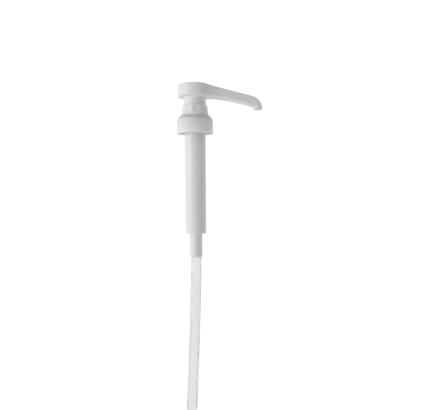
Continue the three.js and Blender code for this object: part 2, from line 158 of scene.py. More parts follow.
def softbox(name, place, aim, width, height, power):
    """A rectangular soft light that shines from its place at the point that it aims at."""
    data = bpy.data.lights.new(name, "AREA")
    data.shape = "RECTANGLE"
    data.size = width
    data.size_y = height
    data.energy = power
    box = bpy.data.objects.new(name, data)
    scene.collection.objects.link(box)
    box.location = place
    box.rotation_euler = (Vector(aim) - Vector(place)).to_track_quat("-Z", "Y").to_euler()


pump_middle = (cad_low + cad_high) / 2
key_turn = math.radians(65.0)
key_distance = 1.7
key_width = 1.0
key_height = 1.3
key_power = 17.6
key_direction = Vector((-math.sin(key_turn), -math.cos(key_turn), 0.05))
key_place = pump_middle + key_distance * key_direction
softbox("key_softbox", key_place, pump_middle, key_width, key_height, key_power)

floor_drop = 0.0006
floor_radius = 6.0
floor_mesh = bmesh.new()
bmesh.ops.create_circle(floor_mesh, cap_ends=True, radius=floor_radius, segments=64)
bmesh.ops.translate(floor_mesh, vec=(0, 0, cad_low.z - floor_drop), verts=floor_mesh.verts)
floor_data = bpy.data.meshes.new("floor")
floor_mesh.to_mesh(floor_data)
floor_mesh.free()
floor = bpy.data.objects.new("floor", floor_data)
scene.collection.objects.link(floor)

# White paper under strong lamps: it burns out to an even white, and takes no shadow
floor_material = bpy.data.materials.new("white_sweep_paper")
floor_material.use_nodes = True
tree = floor_material.node_tree
tree.nodes.clear()
seen = add_node(tree, "ShaderNodeLightPath")
level = add_node(tree, "ShaderNodeMix", {"data_type": "FLOAT"}, {
    "Factor_Float": seen.outputs["Is Transmission Ray"],
    "A_Float": floor_light,
    "B_Float": through_light,
})
paper = add_node(tree, "ShaderNodeEmission", {}, {"Color": (1, 1, 1, 1), "Strength": level.outputs[0]})
burnt_out = add_node(tree, "ShaderNodeEmission", {}, {"Color": (1, 1, 1, 1), "Strength": backdrop_white})
either = add_node(tree, "ShaderNodeMixShader", {}, {
    "Fac": seen.outputs["Is Camera Ray"],
    "Shader": paper.outputs[0],
    "Shader_001": burnt_out.outputs[0],
})
add_node(tree, "ShaderNodeOutputMaterial", {}, {"Surface": either.outputs[0]})
floor_data.materials.append(floor_material)


# ---------- Barrel ----------
# The pump's cylinder: injection-moulded white polypropylene, with a flange that rests on the gasket, a neck
# that the lock collar snaps over, and a narrower tail that the dip tube is pressed into.

MM = 0.001
crisp_angle = math.radians(38.0)


def corners(node):
    """A CAD node's lowest and highest corner, in millimetres."""
    low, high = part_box(node)
    return low / MM, high / MM


def turned(outline, steps):
    """A ring turned about Z from a closed outline of (radius, height, rounding) corners."""
    ring = bmesh.new()
    points = [ring.verts.new((radius, 0, height)) for radius, height, _ in outline]
    for here, there in zip(points, points[1:] + points[:1]):
        ring.edges.new((here, there))
    for rounding in sorted({corner[2] for corner in outline} - {0}):
        picked = [point for point, corner in zip(points, outline) if corner[2] == rounding]
        bmesh.ops.bevel(
            ring, geom=picked, offset=rounding, offset_type="OFFSET", segments=4, profile=0.5,
            affect="VERTICES", clamp_overlap=True, material=-1,
        )
    bmesh.ops.spin(
        ring, geom=ring.verts[:] + ring.edges[:], cent=(0, 0, 0), axis=(0, 0, 1), dvec=(0, 0, 0),
        angle=2 * math.pi, steps=steps, use_merge=True,
    )
    bmesh.ops.remove_doubles(ring, verts=ring.verts, dist=0.001)
    bmesh.ops.recalc_face_normals(ring, faces=ring.faces)
    return ring


def cut_row(mesh, height):
    """Cuts a level row of edges into a mesh, which splits its long faces there."""
    bmesh.ops.bisect_plane(
        mesh, geom=mesh.verts[:] + mesh.edges[:] + mesh.faces[:], dist=0.0001,
        plane_co=(0, 0, height), plane_no=(0, 0, 1),
    )


def as_object(name, mesh):
    """A finished bmesh, in millimetres, as an object in metres with smooth faces and crisp corners."""
    bmesh.ops.scale(mesh, vec=(MM, MM, MM), verts=mesh.verts)
    data = bpy.data.meshes.new(name)
    mesh.to_mesh(data)
    mesh.free()
    data.shade_smooth()
    data.set_sharp_from_angle(angle=crisp_angle)
    piece = bpy.data.objects.new(name, data)
    scene.collection.objects.link(piece)
    return piece


def combine(piece, tool, operation):
    """Cuts a piece with another one, or joins the two, and drops the tool."""
    step = piece.modifiers.new("combine", "BOOLEAN")
    step.operation = operation
    step.solver = "EXACT"
    step.object = tool
    graph = bpy.context.evaluated_depsgraph_get()
    made = bpy.data.meshes.new_from_object(piece.evaluated_get(graph))
    piece.modifiers.clear()
    piece.data = made
    bpy.data.objects.remove(tool)
    made.shade_smooth()
    made.set_sharp_from_angle(angle=crisp_angle)


def place(piece, material, body, nodes, slot):
    """Gives a piece its material, lets it move with its body, and hides the CAD nodes that it stands for."""
    piece.data.materials.clear()
    piece.data.materials.append(material)
    even = piece.modifiers.new("even_shading", "WEIGHTED_NORMAL")
    even.keep_sharp = True
    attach(piece, body)
    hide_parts(*nodes)


def moulded_polypropylene(name, light_tone, dark_tone, gloss, grain_size, grain_depth, clearness, depth):
    """White polypropylene from a steel mould: satin, faintly cloudy, with the mould's grain.

    Clearness is the share of light that goes under the surface, and depth how far it gets, in millimetres.
    """
    material = bpy.data.materials.new(name)
    material.use_nodes = True
    tree = material.node_tree
    tree.nodes.clear()
    where = add_node(tree, "ShaderNodeTexCoord").outputs["Object"]
    # Clouding over about 14 mm, and finer mottling over about 2 mm
    clouds = add_node(tree, "ShaderNodeTexNoise", {}, {
        "Vector": where, "Scale": 1 / (14 * MM), "Detail": 3.0, "Roughness": 0.6,
    })
    tone = add_node(tree, "ShaderNodeMix", {"data_type": "RGBA"}, {
        "Factor_Float": clouds.outputs[0],
        "A_Color": (*linear(light_tone), 1),
        "B_Color": (*linear(dark_tone), 1),
    })
    mottle = add_node(tree, "ShaderNodeTexNoise", {}, {
        "Vector": where, "Scale": 1 / (2 * MM), "Detail": 4.0, "Roughness": 0.55,
    })
    roughness = add_node(tree, "ShaderNodeMapRange", {}, {
        "Value": mottle.outputs[0],
        "From Min": 0.25, "From Max": 0.75, "To Min": gloss - 0.05, "To Max": gloss + 0.06,
    })
    # The mould's spark-eroded grain is about 0.05 mm; it is drawn coarser, so that it shows
    grain = add_node(tree, "ShaderNodeTexNoise", {}, {
        "Vector": where, "Scale": 1 / (grain_size * MM), "Detail": 2.0, "Roughness": 0.5,
    })
    bump = add_node(tree, "ShaderNodeBump", {}, {
        "Strength": 0.35, "Distance": grain_depth * MM, "Height": grain.outputs[0],
    })
    surface = add_node(tree, "ShaderNodeBsdfPrincipled", {}, {
        "Base Color": tone.outputs[2],
        "Roughness": roughness.outputs[0],
        "IOR": 1.49,
        "Subsurface Weight": clearness,
        "Subsurface Radius": (1.0, 1.0, 0.95),
        "Subsurface Scale": depth * MM,
        "Normal": bump.outputs[0],
    })
    add_node(tree, "ShaderNodeOutputMaterial", {}, {"Surface": surface.outputs[0]})
    return material


# Barrels are moulded in a polished cavity, so the skin is smoother and a little glossier than the grips
barrel_polypropylene = moulded_polypropylene(
    "polished_moulded_polypropylene", "EFEFEF", "EAEAEA", 0.38, 0.5, 0.01, 0.12, 1.2,
)

barrel_low, barrel_high = corners("barrel")
cylinder_bore = 10.4
cylinder_end = -128.5
cylinder_floor = -126.5
upper_wall = 1.72
lower_wall = 1.45
flange_bottom = 1.6
flange_top = 3.7
neck_radius = 14.0
snap_middle = 7.75
snap_bead = 0.35
tail_radius = 7.3
dip_socket = 6.15
dip_socket_top = -133.4
inlet_radius = 3.2
inlet_seat = 0.9
vent_radius = 1.0
vent_height = -8.0

barrel_mesh = turned([
    (dip_socket, barrel_low.z, 0.4),
    (tail_radius, barrel_low.z, 0.35),
    (tail_radius, cylinder_end, 0.4),
    (cylinder_bore + lower_wall, cylinder_end, 0.9),
    (cylinder_bore + upper_wall, flange_bottom, 0.5),
    (barrel_high.x, flange_bottom, 0.3),
    (barrel_high.x, flange_top, 0.5),
    (neck_radius, flange_top, 0.4),
    (neck_radius, snap_middle - snap_bead, 0.2),
    (neck_radius + snap_bead, snap_middle, 0.25),
    (neck_radius, snap_middle + snap_bead, 0.2),
    (neck_radius, barrel_high.z, 0.6),
    (cylinder_bore, barrel_high.z, 0.5),
    (cylinder_bore, cylinder_floor, 0.6),
    (inlet_radius + inlet_seat, cylinder_floor, 0.2),
    (inlet_radius, cylinder_floor - inlet_seat, 0.2),
    (inlet_radius, dip_socket_top, 0.2),
    (dip_socket, dip_socket_top, 0.3),
], 192)
# Rows along the tube, so that no face is longer than about 20 mm
barrel_rows = 7
for row in range(1, barrel_rows):
    cut_row(barrel_mesh, row * cylinder_end / barrel_rows)
barrel = as_object("pump_barrel", barrel_mesh)

# Vent hole that lets air into the bottle, on the side away from the viewer
vent_mesh = bmesh.new()
vent_length = 8.0
bmesh.ops.create_cone(
    vent_mesh, cap_ends=True, segments=32, radius1=vent_radius, radius2=vent_radius, depth=vent_length,
    matrix=Matrix.Translation((0, cylinder_bore + 1, vent_height)) @ Matrix.Rotation(math.pi / 2, 4, "X"),
)
combine(barrel, as_object("vent_drill", vent_mesh), "DIFFERENCE")
place(barrel, barrel_polypropylene, "pump_body", ["barrel"], "white_polypropylene")


# ---------- Inlet ball ----------
# A ground and polished stainless ball that rests on the barrel's inlet and lifts as the pump draws. It is
# loose, and the cage around it keeps it over its seat.

def ball(name, node):
    """A ball that fills its CAD node's box."""
    low, high = corners(node)
    sphere = bmesh.new()
    bmesh.ops.create_icosphere(
        sphere, subdivisions=5, radius=(high.z - low.z) / 2, matrix=Matrix.Translation((low + high) / 2),
    )
    return as_object(name, sphere)


def stainless_steel(name, line_width, line_stretch, roughness):
    """Stainless steel with the fine lines of its last working: bright, with slightly broken reflections."""
    material = bpy.data.materials.new(name)
    material.use_nodes = True
    tree = material.node_tree
    tree.nodes.clear()
    where = add_node(tree, "ShaderNodeTexCoord").outputs["Object"]
    along = add_node(tree, "ShaderNodeMapping", {"vector_type": "POINT"}, {
        "Vector": where, "Scale": (1.0, 1.0, line_stretch),
    })
    # Lapping and drawing lines are a few hundredths of a millimetre; they are drawn wider, to show
    lines = add_node(tree, "ShaderNodeTexNoise", {}, {
        "Vector": along.outputs[0], "Scale": 1 / (line_width * MM), "Detail": 4.0, "Roughness": 0.6,
    })
    tone = add_node(tree, "ShaderNodeMix", {"data_type": "RGBA"}, {
        "Factor_Float": lines.outputs[0],
        "A_Color": (*linear("D2D3D4"), 1),
        "B_Color": (*linear("BFC1C3"), 1),
    })
    shine = add_node(tree, "ShaderNodeMapRange", {}, {
        "Value": lines.outputs[0],
        "From Min": 0.3, "From Max": 0.7, "To Min": roughness * 0.7, "To Max": roughness * 1.5,
    })
    bump = add_node(tree, "ShaderNodeBump", {}, {
        "Strength": 0.2, "Distance": 0.004 * MM, "Height": lines.outputs[0],
    })
    surface = add_node(tree, "ShaderNodeBsdfPrincipled", {}, {
        "Base Color": tone.outputs[2],
        "Metallic": 1.0,
        "Roughness": shine.outputs[0],
        "Normal": bump.outputs[0],
    })
    add_node(tree, "ShaderNodeOutputMaterial", {}, {"Surface": surface.outputs[0]})
    return material


# Lapped all over, so that it shines like a mirror with a faint haze
polished_steel = stainless_steel("polished_stainless_steel", 0.3, 1.0, 0.12)
inlet_ball = ball("inlet_check_ball", "inlet_ball")
place(inlet_ball, polished_steel, "inlet_ball", ["inlet_ball"], "stainless_steel")


# ---------- Ball cage ----------
# A moulded basket pressed into the barrel's lower end. Its windows let the sauce past the ball, its two
# crossed bars keep the ball in, and the spring stands on its flange.

cage_low, cage_high = corners("ball_cage")
cage_bore = 4.47
basket_radius = cage_bore + 1.2
cage_flange_top = cage_low.z + 1.5
bar_height = 1.4
bar_width = 1.6
bar_length = 2 * cage_bore + 1.4
window_width = 4.2
window_margin = 0.6

# Inner pieces come from a plain cavity, which leaves them a little duller and more grained
inner_polypropylene = moulded_polypropylene(
    "plain_moulded_polypropylene", "F0F0EE", "EAEAE8", 0.46, 0.6, 0.015, 0.12, 1.2,
)

cage_mesh = turned([
    (cage_bore, cage_low.z, 0.3),
    (cage_high.x, cage_low.z, 0.2),
    (cage_high.x, cage_flange_top, 0.3),
    (basket_radius, cage_flange_top, 0.4),
    (basket_radius, cage_high.z, 0.4),
    (cage_bore, cage_high.z, 0.2),
], 128)
ball_cage = as_object("ball_cage_basket", cage_mesh)


def bar_shape(length, width, height, middle, turn):
    """A bar with rounded edges, lying along X and turned about the pump's axis."""
    bar = bmesh.new()
    size = Matrix.Diagonal((length, width, height, 1))
    bmesh.ops.create_cube(bar, size=1.0, matrix=Matrix.Translation(middle) @ size)
    bmesh.ops.bevel(
        bar, geom=bar.edges[:], offset=0.3, offset_type="OFFSET", segments=3, profile=0.5,
        affect="EDGES", clamp_overlap=True, material=-1,
    )
    bmesh.ops.rotate(bar, cent=(0, 0, 0), matrix=Matrix.Rotation(turn, 3, "Z"), verts=bar.verts)
    return bar


window_bottom = cage_flange_top + window_margin
window_top = cage_high.z - bar_height - window_margin
for side in range(4):
    window_middle = (basket_radius, 0, (window_bottom + window_top) / 2)
    turn = math.radians(45 + 90 * side)
    window = bar_shape(2 * basket_radius, window_width, window_top - window_bottom, window_middle, turn)
    combine(ball_cage, as_object("cage_window", window), "DIFFERENCE")
for turn in (0.0, math.pi / 2):
    bar_middle = (0, 0, cage_high.z - bar_height / 2)
    bar = bar_shape(bar_length, bar_width, bar_height - 0.1, bar_middle, turn)
    combine(ball_cage, as_object("cage_bar", bar), "UNION")
place(ball_cage, inner_polypropylene, "pump_body", ["ball_cage"], "white_polypropylene")


# ---------- Spring ----------
# Wound stainless wire with one closed turn at each end. It stands on the cage and pushes the piston up.

spring_low, spring_high = corners("spring")
wire_radius = 0.65
coil_radius = spring_high.x - wire_radius
closed_pitch = 1.45
open_turns = 7
steps_per_turn = 48
coil_height = spring_high.z - spring_low.z - 2 * wire_radius
open_pitch = (coil_height - 2 * closed_pitch) / open_turns

spring_mesh = bmesh.new()
wire_start = Matrix.Translation((coil_radius, 0, spring_low.z + wire_radius))
first_section = bmesh.ops.create_circle(
    spring_mesh, cap_ends=True, radius=wire_radius, segments=16,
    matrix=wire_start @ Matrix.Rotation(math.pi / 2, 4, "X"),
)
section = first_section["verts"] + spring_mesh.edges[:] + spring_mesh.faces[:]
for turns, pitch in ((1, closed_pitch), (open_turns, open_pitch), (1, closed_pitch)):
    wound = bmesh.ops.spin(
        spring_mesh, geom=section, cent=(0, 0, 0), axis=(0, 0, 1), dvec=(0, 0, pitch / steps_per_turn),
        angle=2 * math.pi * turns, steps=steps_per_turn * turns,
    )
    section = wound["geom_last"]
bmesh.ops.recalc_face_normals(spring_mesh, faces=spring_mesh.faces)
spring = as_object("return_spring", spring_mesh)
# Drawn through a die, so that its shine is softer and finely streaked
drawn_steel = stainless_steel("drawn_stainless_wire", 0.2, 6.0, 0.24)
spring.data.materials.append(drawn_steel)
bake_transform(spring)
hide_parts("spring")


# ---------- Piston retainer ----------
# A moulded plug pressed into the stem's lower end. Its flange holds the piston up and takes the spring's
# push, and its boss keeps the spring centred.

retainer_low, retainer_high = corners("piston_retainer")
retainer_bore = 2.2
retainer_boss = 7.5
retainer_flange_bottom = retainer_low.z + 4.0
retainer_flange_top = retainer_flange_bottom + 2.0
retainer_shank = 3.45

retainer_mesh = turned([
    (retainer_bore, retainer_low.z, 0.5),
    (retainer_boss, retainer_low.z, 0.8),
    (retainer_boss, retainer_flange_bottom, 0.2),
    (retainer_high.x, retainer_flange_bottom, 0.3),
    (retainer_high.x, retainer_flange_top, 0.3),
    (retainer_shank, retainer_flange_top, 0.2),
    (retainer_shank, retainer_high.z, 0.6),
    (retainer_bore, retainer_high.z, 0.3),
], 128)
retainer = as_object("piston_plug", retainer_mesh)
place(retainer, inner_polypropylene, "plunger", ["piston_retainer"], "white_polypropylene")


# ---------- Piston ----------
# A cup of soft milky polyethylene, moulded in one, with a thin lip at each end that wipes the barrel's wall.
# It is slipped over the stem's lower end and held up there by the retainer's flange.

piston_low, piston_high = corners("piston")
piston_bore = 5.65
piston_lip = piston_high.x
piston_waist = piston_lip - 1.0
hub_share = 0.72
piston_hub = piston_bore + (piston_waist - piston_bore) * hub_share
lip_length = 4.5

piston_mesh = turned([
    (piston_bore, piston_low.z, 0.3),
    (piston_hub, piston_low.z, 0.3),
    (piston_hub, piston_low.z + lip_length, 0.2),
    (piston_waist, piston_low.z, 0.1),
    (piston_lip, piston_low.z, 0.15),
    (piston_waist, piston_low.z + lip_length + 1, 1.0),
    (piston_waist, piston_high.z - lip_length - 1, 1.0),
    (piston_lip, piston_high.z, 0.15),
    (piston_waist, piston_high.z, 0.1),
    (piston_hub, piston_high.z - lip_length, 0.2),
    (piston_hub, piston_high.z, 0.3),
    (piston_bore, piston_high.z, 0.3),
], 128)
piston = as_object("piston_cup", piston_mesh)


def milky_polyethylene(name, line_stretch, clearness, depth):
    """Natural low-density polyethylene: milky and waxy. Clearness is the share of light that goes through."""
    material = bpy.data.materials.new(name)
    material.use_nodes = True
    tree = material.node_tree
    tree.nodes.clear()
    where = add_node(tree, "ShaderNodeTexCoord").outputs["Object"]
    along = add_node(tree, "ShaderNodeMapping", {"vector_type": "POINT"}, {
        "Vector": where, "Scale": (1.0, 1.0, line_stretch),
    })
    # Streaks about 0.8 mm wide that the die draws along the tube
    streaks = add_node(tree, "ShaderNodeTexNoise", {}, {
        "Vector": along.outputs[0], "Scale": 1 / (0.8 * MM), "Detail": 3.0, "Roughness": 0.55,
    })
    haze = add_node(tree, "ShaderNodeTexNoise", {}, {
        "Vector": where, "Scale": 1 / (18 * MM), "Detail": 2.0, "Roughness": 0.5,
    })
    tone = add_node(tree, "ShaderNodeMix", {"data_type": "RGBA"}, {
        "Factor_Float": haze.outputs[0],
        "A_Color": (*linear("FEFEFE"), 1),
        "B_Color": (*linear("FBFBFB"), 1),
    })
    roughness = add_node(tree, "ShaderNodeMapRange", {}, {
        "Value": streaks.outputs[0],
        "From Min": 0.3, "From Max": 0.7, "To Min": 0.26, "To Max": 0.36,
    })
    bump = add_node(tree, "ShaderNodeBump", {}, {
        "Strength": 0.3, "Distance": 0.015 * MM, "Height": streaks.outputs[0],
    })
    surface = add_node(tree, "ShaderNodeBsdfPrincipled", {}, {
        "Base Color": tone.outputs[2],
        "Roughness": roughness.outputs[0],
        # Solid polyethylene's is 1.51; it is lower here, so that light passes the wall nearly straight
        "IOR": 1.22,
        "Transmission Weight": clearness,
        "Subsurface Weight": 1.0,
        "Subsurface Radius": (1.0, 1.0, 1.0),
        "Subsurface Scale": depth * MM,
        "Normal": bump.outputs[0],
    })
    add_node(tree, "ShaderNodeOutputMaterial", {}, {"Surface": surface.outputs[0]})
    return material


# Moulded soft, and cloudy enough that only a little light comes through
soft_polyethylene = milky_polyethylene("soft_moulded_polyethylene", 1.0, 0.2, 2.0)
place(piston, soft_polyethylene, "piston", ["piston"], "milky_polyethylene")


# ---------- Stem ----------
# A hollow rod of white polypropylene, pressed into the head. The outlet valve's seat is moulded into its
# upper end, and the ring near its lower end stops the plunger's rise.

stem_low, stem_high = corners("stem")
stem_radius = 5.5
stem_bore = 3.6
stop_radius = stem_high.x
stop_top = -64.2
stop_bottom = -66.2
outlet_ball_low, outlet_ball_high = corners("outlet_ball")
ball_clearance = 0.7
seat_drop = 1.9
valve_chamber = outlet_ball_high.x + ball_clearance
valve_hole = 2.4
valve_seat = (outlet_ball_low.z + outlet_ball_high.z) / 2 - seat_drop

stem_mesh = turned([
    (stem_bore, stem_low.z, 0.2),
    (stem_radius, stem_low.z, 0.4),
    (stem_radius, stop_bottom, 0.3),
    (stop_radius, stop_bottom, 0.3),
    (stop_radius, stop_top, 0.3),
    (stem_radius, stop_top, 0.4),
    (stem_radius, stem_high.z, 0.5),
    (valve_chamber, stem_high.z, 0.3),
    (valve_chamber, valve_seat, 0.2),
    (valve_hole, valve_seat, 0.15),
    (valve_hole, valve_seat - 1, 0.2),
    (stem_bore, valve_seat - 2, 0.3),
], 128)
stem_rows = 6
for row in range(1, stem_rows):
    cut_row(stem_mesh, stop_top + row * (valve_seat - stop_top) / stem_rows)
stem = as_object("plunger_stem", stem_mesh)
place(stem, inner_polypropylene, "plunger", ["stem"], "white_polypropylene")


# ---------- Outlet ball ----------
# The smaller stainless ball, ground and polished like the other. It lies loose in the chamber above the
# seat at the stem's upper end.

outlet_ball = ball("outlet_check_ball", "outlet_ball")
place(outlet_ball, polished_steel, "outlet_ball", ["outlet_ball"], "stainless_steel")


# ---------- Gasket ----------
# A die-cut ring of closed-cell polyethylene foam between the barrel's flange and the bottle's rim. It is
# squeezed as the closure is screwed down, and seals the neck.

gasket_low, gasket_high = corners("gasket")
gasket_bore = 12.32
gasket_mesh = turned([
    (gasket_bore, gasket_low.z, 0.1),
    (gasket_high.x, gasket_low.z, 0.15),
    (gasket_high.x, gasket_high.z, 0.15),
    (gasket_bore, gasket_high.z, 0.1),
], 160)
gasket = as_object("foam_gasket", gasket_mesh)

# Foam: matt, with cut cells about 0.4 mm across that give it a soft speckle
foam = bpy.data.materials.new("die_cut_polyethylene_foam")
foam.use_nodes = True
tree = foam.node_tree
tree.nodes.clear()
where = add_node(tree, "ShaderNodeTexCoord").outputs["Object"]
cells = add_node(tree, "ShaderNodeTexVoronoi", {}, {"Vector": where, "Scale": 1 / (0.4 * MM)})
foam_tone = add_node(tree, "ShaderNodeMix", {"data_type": "RGBA"}, {
    "Factor_Float": cells.outputs["Distance"],
    "A_Color": (*linear("F4F4F0"), 1),
    "B_Color": (*linear("E2E2DD"), 1),
})
foam_roughness = add_node(tree, "ShaderNodeMapRange", {}, {
    "Value": cells.outputs["Distance"],
    "From Min": 0.0, "From Max": 1.0, "To Min": 0.8, "To Max": 0.95,
})
foam_bump = add_node(tree, "ShaderNodeBump", {"invert": True}, {
    "Strength": 0.6, "Distance": 0.05 * MM, "Height": cells.outputs["Distance"],
})
foam_surface = add_node(tree, "ShaderNodeBsdfPrincipled", {}, {
    "Base Color": foam_tone.outputs[2],
    "Roughness": foam_roughness.outputs[0],
    "IOR": 1.5,
    "Subsurface Weight": 0.3,
    "Subsurface Radius": (1.0, 1.0, 1.0),
    "Subsurface Scale": 0.8 * MM,
    "Normal": foam_bump.outputs[0],
})
add_node(tree, "ShaderNodeOutputMaterial", {}, {"Surface": foam_surface.outputs[0]})
place(gasket, foam, "pump_body", ["gasket"], "polyethylene_foam")


# ---------- Closure ----------
# The 38-400 screw closure, moulded in white polypropylene. Fine grip ribs run down its skirt to a plain
# band, the shoulder slopes up to the collar, and the thread inside winds one turn and a half.

closure_low, closure_high = corners("closure")
closure_radius = closure_high.x
shoulder_radius = closure_radius - 0.8
closure_wall_radius = closure_radius - 2.0
closure_roof = 2.0
closure_hole = neck_radius + snap_bead + 0.2
band_top = closure_low.z + 3.0
shoulder_bottom = closure_high.z - 3.6
shoulder_top_radius = shoulder_radius - 3.9
shoulder_half_in = 1.8
shoulder_half_down = 1.65
rib_count = 96
rib_depth = 0.18
rib_fade = 2.2
rib_end = closure_high.z - 0.4
steps_per_rib = 6

closure_mesh = turned([
    (closure_wall_radius, closure_low.z, 0.4),
    (closure_radius, closure_low.z, 0.8),
    (closure_radius, band_top, 0.25),
    (closure_radius - 0.1, band_top + 0.5, 0.2),
    (shoulder_radius, shoulder_bottom, 1.3),
    (shoulder_radius - shoulder_half_in, closure_high.z - shoulder_half_down, 0.8),
    (shoulder_top_radius, closure_high.z, 0.3),
    (closure_hole, closure_high.z, 0.4),
    (closure_hole, closure_high.z - closure_roof, 0.3),
    (closure_wall_radius, closure_high.z - closure_roof, 0.5),
], rib_count * steps_per_rib)
rib_foot = band_top + 0.7
rib_top = shoulder_bottom + 0.6
rib_rows = 4
for row in range(rib_rows + 1):
    cut_row(closure_mesh, rib_foot + row * (rib_top - rib_foot) / rib_rows)
for point in closure_mesh.verts:
    radius = math.hypot(point.co.x, point.co.y)
    if radius < closure_wall_radius + 0.6 or not rib_foot - 0.01 < point.co.z < rib_end:
        continue
    ribs = math.cos(rib_count * math.atan2(point.co.y, point.co.x))
    run_out = min(1.0, max(0.0, (rib_end - point.co.z) / rib_fade))
    inward = rib_depth * run_out * (0.5 - 0.5 * ribs)
    point.co.x *= 1 - inward / radius
    point.co.y *= 1 - inward / radius
closure = as_object("screw_closure", closure_mesh)


def thread(wall_radius, height, width, pitch, turns, bottom, steps_per_turn):
    """A thread ridge on a wall, sunk 0.3 mm into it, that fades in and out over a sixth of a turn.

    An inside thread has a height below 0.
    """
    sunk = -math.copysign(0.3, height)
    ridge = bmesh.new()
    section = [
        ridge.verts.new((wall_radius + sunk, 0, bottom - width / 2)),
        ridge.verts.new((wall_radius + height, 0, bottom - width / 5)),
        ridge.verts.new((wall_radius + height, 0, bottom + width / 5)),
        ridge.verts.new((wall_radius + sunk, 0, bottom + width / 2)),
    ]
    ridge.faces.new(section)
    steps = round(turns * steps_per_turn)
    bmesh.ops.spin(
        ridge, geom=ridge.verts[:] + ridge.edges[:] + ridge.faces[:], cent=(0, 0, 0), axis=(0, 0, 1),
        dvec=(0, 0, pitch * turns / steps), angle=2 * math.pi * turns, steps=steps,
    )
    for point in ridge.verts:
        part_turn = math.atan2(point.co.y, point.co.x) / (2 * math.pi)
        turn = part_turn + round((point.co.z - bottom) / pitch - part_turn)
        fade = min(1.0, max(0.12, 6 * min(turn, turns - turn)))
        radius = math.hypot(point.co.x, point.co.y)
        stands_out = (radius - wall_radius) * height > 0
        faded = wall_radius + (radius - wall_radius) * fade if stands_out else radius
        middle = bottom + pitch * turn
        point.co.x *= faded / radius
        point.co.y *= faded / radius
        point.co.z = middle + (point.co.z - middle) * (0.5 + 0.5 * fade)
    bmesh.ops.recalc_face_normals(ridge, faces=ridge.faces)
    return ridge


# Six threads to the inch, as on every 38-400 neck
neck_pitch = 4.23
neck_turns = 1.5
neck_thread_height = 1.1
neck_thread_width = 1.9
neck_thread_start = closure_low.z + 2.7
neck_thread = thread(
    closure_wall_radius, -neck_thread_height, neck_thread_width, neck_pitch, neck_turns,
    neck_thread_start, 96,
)
combine(closure, as_object("neck_thread", neck_thread), "UNION")
# The closure's thin skirt lets some light through to its inside
thin_polypropylene = moulded_polypropylene(
    "thin_moulded_polypropylene", "F4F4F4", "F0F0F0", 0.44, 0.4, 0.02, 0.75, 5.0,
)
place(closure, thin_polypropylene, "closure", ["closure"], "white_polypropylene")


# ---------- Lock collar ----------
# Moulded white polypropylene, snapped over the barrel's neck. Ten broad flutes give the fingers a hold, the
# head screws into its thread, and its inner tube guides the stem.

collar_low, collar_high = corners("lock_collar")
collar_bore = 13.3
collar_bottom = 6.1
web_bottom = 9.1
web_top = 10.6
guide_bore = 5.7
guide_radius = 7.2
foot_bore = neck_radius + 0.15
foot_top = collar_bottom + 2.4
grip_top = collar_high.z - 1.8
waist_radius = collar_bore + 2.05
grip_radius = collar_bore + 1.4
flute_count = 10
flute_depth = 0.8
flute_half_width = 3.9
flute_lower_fade = 1.2
flute_upper_fade = 0.8
steps_per_flute = 42

collar_mesh = turned([
    (foot_bore, collar_bottom, 0.3),
    (collar_high.x, collar_bottom, 0.15),
    (waist_radius, foot_top, 0.9),
    (grip_radius, grip_top, 0.6),
    (collar_bore + 0.8, collar_high.z, 0.3),
    (collar_bore, collar_high.z, 0.3),
    (collar_bore, web_top, 0.4),
    (guide_bore, web_top, 0.4),
    (guide_bore, collar_low.z, 0.4),
    (guide_radius, collar_low.z, 0.4),
    (guide_radius, web_bottom, 0.5),
    (foot_bore, web_bottom, 0.3),
    (foot_bore, snap_middle + snap_bead, 0.2),
    (foot_bore + snap_bead, snap_middle, 0.2),
    (foot_bore, snap_middle - snap_bead, 0.2),
], flute_count * steps_per_flute)
flute_low = foot_top + 0.2
flute_high = collar_high.z - 0.5
flute_rows = 16
for row in range(flute_rows + 1):
    cut_row(collar_mesh, flute_low + row * (flute_high - flute_low) / flute_rows)
# One flute faces the viewer, a little to the right
first_flute = math.radians(-84.5)
flute_gap = 2 * math.pi / flute_count
for point in collar_mesh.verts:
    radius = math.hypot(point.co.x, point.co.y)
    if radius < collar_bore + 0.65 or not flute_low < point.co.z < flute_high:
        continue
    turn = math.atan2(point.co.y, point.co.x) - first_flute
    beside = radius * abs(turn - flute_gap * round(turn / flute_gap))
    if beside > flute_half_width:
        continue
    groove = 1 - (beside / flute_half_width) ** 2
    lower_end = min(1.0, (point.co.z - flute_low) / flute_lower_fade)
    upper_end = min(1.0, (flute_high - point.co.z) / flute_upper_fade)
    inward = flute_depth * groove * math.sin(lower_end * math.pi / 2) * upper_end
    point.co.x *= 1 - inward / radius
    point.co.y *= 1 - inward / radius
collar = as_object("fluted_lock_collar", collar_mesh)

lock_pitch = 3.2
lock_turns = 1.25
lock_height = 0.35
lock_width = 1.1
collar_thread = thread(
    collar_bore, -lock_height, lock_width, lock_pitch, lock_turns,
    collar_high.z - lock_pitch * lock_turns - lock_width, 96,
)
combine(collar, as_object("collar_thread", collar_thread), "UNION")
# What the hands touch has a deeper grain, which gives it a soft satin skin
grip_polypropylene = moulded_polypropylene(
    "grained_moulded_polypropylene", "EFEFEF", "EAEAEA", 0.44, 0.4, 0.02, 0.12, 1.2,
)
place(collar, grip_polypropylene, "pump_body", ["lock_collar"], "white_polypropylene")


# ---------- Dip tube ----------
# Milky extruded polyethylene pipe, 12 mm outside and 9.6 mm inside, pressed into the barrel's tail. It has
# kept a little of its reel's bend, and its lower end is cut slanting, so that it can't seal on the jar's
# floor.

dip_high = corners("dip_tube")[1]
dip_radius = dip_high.x
dip_bore = 4.8
# Straight in its socket, then a short bend and a long gentle sweep: each stretch's length, bend radius
# and number of steps
dip_socket_length = 22.0
dip_stretches = [(25.0, 1000.0, 5), (169.0, 5000.0, 16)]
tip_slant = math.radians(30.0)
overrun = 12.0

